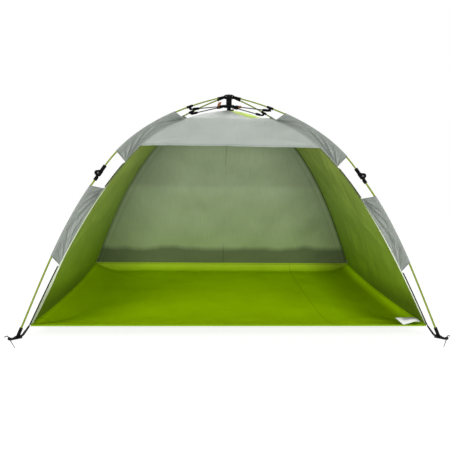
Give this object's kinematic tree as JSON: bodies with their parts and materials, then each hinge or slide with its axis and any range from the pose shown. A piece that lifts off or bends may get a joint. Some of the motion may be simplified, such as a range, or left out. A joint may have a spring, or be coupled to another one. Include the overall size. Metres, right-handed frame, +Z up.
{
  "type": "beach tent",
  "caption": "Pop-up beach shelter: jointed poles on a folding hub with a sliding runner and stays, an open-front fabric cabin with a raised-edge floor, corner straps and ground pegs.",
  "frame": {"origin": "on the ground at the middle of the footprint, straight below the hub", "axes": "+X towards the cabin's right-hand side as seen from its open front, +Y from the open front to the rear wall, +Z up"},
  "size_m": [2.4544, 1.8376, 1.394],
  "materials": {
    "black_plastic": "satin moulded nylon",
    "lime_pole": "smooth coated glass-fibre rod",
    "steel": "plain bright steel wire and rivets",
    "grey_cloth": "grey coated woven polyester",
    "green_cloth": "green woven polyester, silver-grey coated inside",
    "back_cloth": "grey-green woven polyester",
    "lime_floor": "lime woven groundsheet with a slight sheen",
    "black_webbing": "black polypropylene webbing"
  },
  "bodies": {
    "hub_and_cabin": {"top_hub": "black_plastic", "hub_ring": "steel", "left_wall": "green_cloth", "right_wall": "green_cloth", "rear_wall": "back_cloth", "front_canopy": "grey_cloth", "floor": "lime_floor", "upper_sleeve_front_left": "grey_cloth", "upper_sleeve_front_right": "grey_cloth", "upper_sleeve_rear_left": "grey_cloth", "upper_sleeve_rear_right": "grey_cloth", "lower_sleeve_front_left": "grey_cloth", "lower_sleeve_front_right": "grey_cloth", "lower_sleeve_rear_left": "grey_cloth", "lower_sleeve_rear_right": "grey_cloth"},
    "runner": {"runner": "black_plastic"},
    "arm_front_left": {"arm_socket_front_left": "black_plastic", "upper_pole_front_left": "lime_pole", "pole_clip_front_left": "black_plastic", "elbow_fork_front_left": "black_plastic", "elbow_rivet_front_left": "steel"},
    "leg_front_left": {"elbow_tongue_front_left": "black_plastic", "lower_pole_front_left": "lime_pole", "foot_front_left": "black_plastic", "corner_strap_front_left": "black_webbing"},
    "stay_front_left": {"stay_front_left": "black_plastic"},
    "peg_front_left": {"peg_front_left": "steel"},
    "arm_front_right": {"arm_socket_front_right": "black_plastic", "upper_pole_front_right": "lime_pole", "pole_clip_front_right": "black_plastic", "elbow_fork_front_right": "black_plastic", "elbow_rivet_front_right": "steel"},
    "leg_front_right": {"elbow_tongue_front_right": "black_plastic", "lower_pole_front_right": "lime_pole", "foot_front_right": "black_plastic", "corner_strap_front_right": "black_webbing"},
    "stay_front_right": {"stay_front_right": "black_plastic"},
    "peg_front_right": {"peg_front_right": "steel"},
    "arm_rear_left": {"arm_socket_rear_left": "black_plastic", "upper_pole_rear_left": "lime_pole", "pole_clip_rear_left": "black_plastic", "elbow_fork_rear_left": "black_plastic", "elbow_rivet_rear_left": "steel"},
    "leg_rear_left": {"elbow_tongue_rear_left": "black_plastic", "lower_pole_rear_left": "lime_pole", "foot_rear_left": "black_plastic", "corner_strap_rear_left": "black_webbing"},
    "stay_rear_left": {"stay_rear_left": "black_plastic"},
    "peg_rear_left": {"peg_rear_left": "steel"},
    "arm_rear_right": {"arm_socket_rear_right": "black_plastic", "upper_pole_rear_right": "lime_pole", "pole_clip_rear_right": "black_plastic", "elbow_fork_rear_right": "black_plastic", "elbow_rivet_rear_right": "steel"},
    "leg_rear_right": {"elbow_tongue_rear_right": "black_plastic", "lower_pole_rear_right": "lime_pole", "foot_rear_right": "black_plastic", "corner_strap_rear_right": "black_webbing"},
    "stay_rear_right": {"stay_rear_right": "black_plastic"},
    "peg_rear_right": {"peg_rear_right": "steel"}
  },
  "joints": [
    {"name": "arm_fold_front_left", "type": "hinge", "parent": "hub_and_cabin", "child": "arm_front_left", "pos_m": [-0.02231, -0.01521, 1.38], "axis": [0.5633, -0.8262, 0], "range_deg": [0, 57], "deforming": ["left_wall", "right_wall", "rear_wall", "front_canopy", "floor", "upper_sleeve_front_left", "upper_sleeve_front_right", "upper_sleeve_rear_left", "upper_sleeve_rear_right", "lower_sleeve_front_left", "lower_sleeve_front_right", "lower_sleeve_rear_left", "lower_sleeve_rear_right"]},
    {"name": "arm_fold_front_right", "type": "hinge", "parent": "hub_and_cabin", "child": "arm_front_right", "pos_m": [0.02231, -0.01521, 1.38], "axis": [0.5633, 0.8262, 0], "range_deg": [0, 57]},
    {"name": "arm_fold_rear_left", "type": "hinge", "parent": "hub_and_cabin", "child": "arm_rear_left", "pos_m": [-0.02231, 0.01521, 1.38], "axis": [-0.5633, -0.8262, 0], "range_deg": [0, 57]},
    {"name": "arm_fold_rear_right", "type": "hinge", "parent": "hub_and_cabin", "child": "arm_rear_right", "pos_m": [0.02231, 0.01521, 1.38], "axis": [-0.5633, 0.8262, 0], "range_deg": [0, 57]},
    {"name": "runner_slide", "type": "slide", "parent": "hub_and_cabin", "child": "runner", "axis": [0, 0, -1], "range_m": [0, 0.4975]},
    {"name": "elbow_fold_front_left", "type": "hinge", "parent": "arm_front_left", "child": "leg_front_left", "pos_m": [-0.76744, -0.52326, 0.8837], "axis": [-0.5633, 0.8262, 0], "range_deg": [0, 180]},
    {"name": "stay_fold_front_left", "type": "hinge", "parent": "runner", "child": "stay_front_left", "pos_m": [-0.01662, -0.02888, 1.3175], "axis": [-0.5633, 0.8262, 0], "range_deg": [0, 85.3]},
    {"name": "peg_slide_front_left", "type": "slide", "parent": "leg_front_left", "child": "peg_front_left", "axis": [-0.5626, 0.8252, 0.0499], "range_m": [0, 0.12]},
    {"name": "elbow_fold_front_right", "type": "hinge", "parent": "arm_front_right", "child": "leg_front_right", "pos_m": [0.76744, -0.52326, 0.8837], "axis": [-0.5633, -0.8262, 0], "range_deg": [0, 180]},
    {"name": "stay_fold_front_right", "type": "hinge", "parent": "runner", "child": "stay_front_right", "pos_m": [0.03295, -0.00492, 1.3175], "axis": [-0.5633, -0.8262, 0], "range_deg": [0, 85.3]},
    {"name": "peg_slide_front_right", "type": "slide", "parent": "leg_front_right", "child": "peg_front_right", "axis": [0.5626, 0.8252, 0.0499], "range_m": [0, 0.12]},
    {"name": "elbow_fold_rear_left", "type": "hinge", "parent": "arm_rear_left", "child": "leg_rear_left", "pos_m": [-0.76744, 0.52326, 0.8837], "axis": [0.5633, 0.8262, 0], "range_deg": [0, 180]},
    {"name": "stay_fold_rear_left", "type": "hinge", "parent": "runner", "child": "stay_rear_left", "pos_m": [-0.03295, 0.00492, 1.3175], "axis": [0.5633, 0.8262, 0], "range_deg": [0, 85.3]},
    {"name": "peg_slide_rear_left", "type": "slide", "parent": "leg_rear_left", "child": "peg_rear_left", "axis": [-0.5626, -0.8252, 0.0499], "range_m": [0, 0.12]},
    {"name": "elbow_fold_rear_right", "type": "hinge", "parent": "arm_rear_right", "child": "leg_rear_right", "pos_m": [0.76744, 0.52326, 0.8837], "axis": [0.5633, -0.8262, 0], "range_deg": [0, 180]},
    {"name": "stay_fold_rear_right", "type": "hinge", "parent": "runner", "child": "stay_rear_right", "pos_m": [0.01662, 0.02888, 1.3175], "axis": [0.5633, -0.8262, 0], "range_deg": [0, 85.3]},
    {"name": "peg_slide_rear_right", "type": "slide", "parent": "leg_rear_right", "child": "peg_rear_right", "axis": [0.5626, -0.8252, 0.0499], "range_m": [0, 0.12]}
  ],
  "couplings": [
    {"joint": "arm_fold_front_right", "follows": "arm_fold_front_left", "ratio": 1},
    {"joint": "arm_fold_rear_left", "follows": "arm_fold_front_left", "ratio": 1},
    {"joint": "arm_fold_rear_right", "follows": "arm_fold_front_left", "ratio": 1},
    {"joint": "runner_slide", "follows": "arm_fold_front_left", "m_per_rad": 0.4997},
    {"joint": "elbow_fold_front_left", "follows": "arm_fold_front_left", "ratio": 3.1578},
    {"joint": "stay_fold_front_left", "follows": "arm_fold_front_left", "ratio": 1.4949},
    {"joint": "elbow_fold_front_right", "follows": "arm_fold_front_left", "ratio": 3.1578},
    {"joint": "stay_fold_front_right", "follows": "arm_fold_front_left", "ratio": 1.4949},
    {"joint": "elbow_fold_rear_left", "follows": "arm_fold_front_left", "ratio": 3.1578},
    {"joint": "stay_fold_rear_left", "follows": "arm_fold_front_left", "ratio": 1.4949},
    {"joint": "elbow_fold_rear_right", "follows": "arm_fold_front_left", "ratio": 3.1578},
    {"joint": "stay_fold_rear_right", "follows": "arm_fold_front_left", "ratio": 1.4949}
  ]
}
